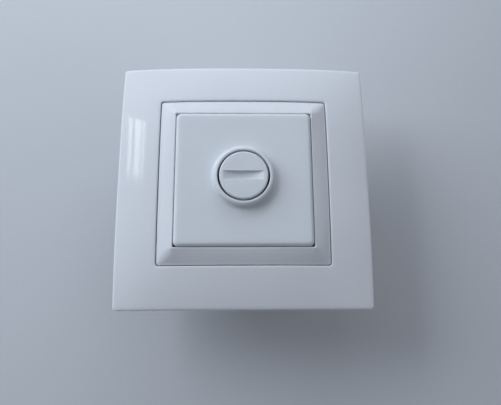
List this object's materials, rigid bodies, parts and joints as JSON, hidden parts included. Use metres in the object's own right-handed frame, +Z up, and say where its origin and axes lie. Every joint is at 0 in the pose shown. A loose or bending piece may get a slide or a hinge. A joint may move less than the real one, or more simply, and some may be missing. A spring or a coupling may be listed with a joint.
{
  "type": "rotary wall dimmer",
  "caption": "Flush wall dimmer with an arched square cover frame, sloped bezel, central plate and push-and-turn knob.",
  "frame": {"origin": "point of the wall plane midway between the two box screws, at the middle of the cover frame", "axes": "+Z up the wall, +X to the right seen from the front, -Y out of the wall towards the user"},
  "size_m": [0.082, 0.041, 0.082],
  "materials": {
    "frame_plastic": "polished white thermoplastic",
    "bezel_plastic": "polished white thermoplastic",
    "plate_plastic": "satin white thermoplastic",
    "knob_plastic": "satin white thermoplastic",
    "housing_plastic": "pale grey moulded plastic",
    "dark_plastic": "black moulded plastic",
    "zinc_steel": "zinc plated sheet steel",
    "screw_steel": "zinc plated screw steel",
    "spring_steel": "bright spring wire",
    "brass": "turned brass",
    "aluminium": "rolled aluminium",
    "board_laminate": "green glass-fibre laminate",
    "carbon_track": "carbon film on a phenolic board",
    "mica_pad": "grey silicone pad",
    "ferrite": "sintered ferrite",
    "copper_wire": "enamelled copper wire",
    "capacitor_case": "moulded capacitor case",
    "resistor_body": "lacquered ceramic",
    "glass_tube": "clear glass tube",
    "terminal_plastic": "dark moulded plastic"
  },
  "bodies": {
    "device": {"cover_frame": "frame_plastic", "bezel": "bezel_plastic", "cover_plate": "plate_plastic", "bushing_nut": "brass", "lock_washer": "spring_steel", "support_plate": "zinc_steel", "housing_cover": "housing_plastic", "housing": "housing_plastic", "housing_screws": "screw_steel", "claw_spring_right": "spring_steel", "claw_spring_left": "spring_steel", "claw_pins": "screw_steel", "pot_bushing": "brass", "pot_case": "dark_plastic", "resistor_track": "carbon_track", "pot_terminals": "brass", "switch_case": "dark_plastic", "switch_contacts": "brass", "return_spring": "spring_steel", "circuit_board": "board_laminate", "heat_sink": "aluminium", "triac": "dark_plastic", "insulating_pad": "mica_pad", "triac_screw": "screw_steel", "choke_core": "ferrite", "choke_winding": "copper_wire", "suppression_capacitor": "capacitor_case", "timing_capacitor": "capacitor_case", "diac": "resistor_body", "resistors": "resistor_body", "fuse": "glass_tube", "fuse_clips": "brass", "terminal_block": "terminal_plastic", "terminal_cages": "brass", "terminal_screws": "screw_steel"},
    "push_rod": {"switch_plunger": "terminal_plastic", "contact_bridge": "brass"},
    "knob_shaft": {"knob": "knob_plastic", "knob_clip": "spring_steel", "spindle": "dark_plastic"},
    "rotor": {"wiper_rotor": "terminal_plastic", "wiper_contact": "brass"},
    "claw_r": {"claw_right": "zinc_steel"},
    "claw_l": {"claw_left": "zinc_steel"},
    "claw_screw_r": {"claw_screw_right": "screw_steel"},
    "claw_screw_l": {"claw_screw_left": "screw_steel"}
  },
  "joints": [
    {"name": "knob_push", "type": "slide", "parent": "device", "child": "push_rod", "axis": [0, 1, 0], "range_m": [0, 0.0015], "stiffness_N_per_m": 1500, "springref_m": -0.001, "deforming": ["return_spring"]},
    {"name": "knob_turn", "type": "hinge", "parent": "push_rod", "child": "knob_shaft", "pos_m": [0, -0.016, 0], "axis": [0, 1, 0], "range_deg": [-135, 135]},
    {"name": "rotor_turn", "type": "hinge", "parent": "device", "child": "rotor", "pos_m": [0, 0.007, 0], "axis": [0, 1, 0], "range_deg": [-135, 135]},
    {"name": "claw_screw_right_turn", "type": "hinge", "parent": "device", "child": "claw_screw_r", "pos_m": [0.0263, 0, 0], "axis": [0, 1, 0], "range_deg": [0, 2160]},
    {"name": "claw_right_swing", "type": "hinge", "parent": "device", "child": "claw_r", "pos_m": [0.0216, 0.011, 0], "axis": [0, 0, -1], "range_deg": [0, 35], "deforming": ["claw_spring_right"]},
    {"name": "claw_screw_left_turn", "type": "hinge", "parent": "device", "child": "claw_screw_l", "pos_m": [-0.0263, 0, 0], "axis": [0, 1, 0], "range_deg": [0, 2160]},
    {"name": "claw_left_swing", "type": "hinge", "parent": "device", "child": "claw_l", "pos_m": [-0.0216, 0.011, 0], "axis": [0, 0, 1], "range_deg": [0, 35], "deforming": ["claw_spring_left"]}
  ],
  "couplings": [
    {"joint": "rotor_turn", "follows": "knob_turn", "ratio": 1},
    {"joint": "claw_right_swing", "follows": "claw_screw_right_turn", "ratio": 0.016203},
    {"joint": "claw_left_swing", "follows": "claw_screw_left_turn", "ratio": 0.016203}
  ]
}
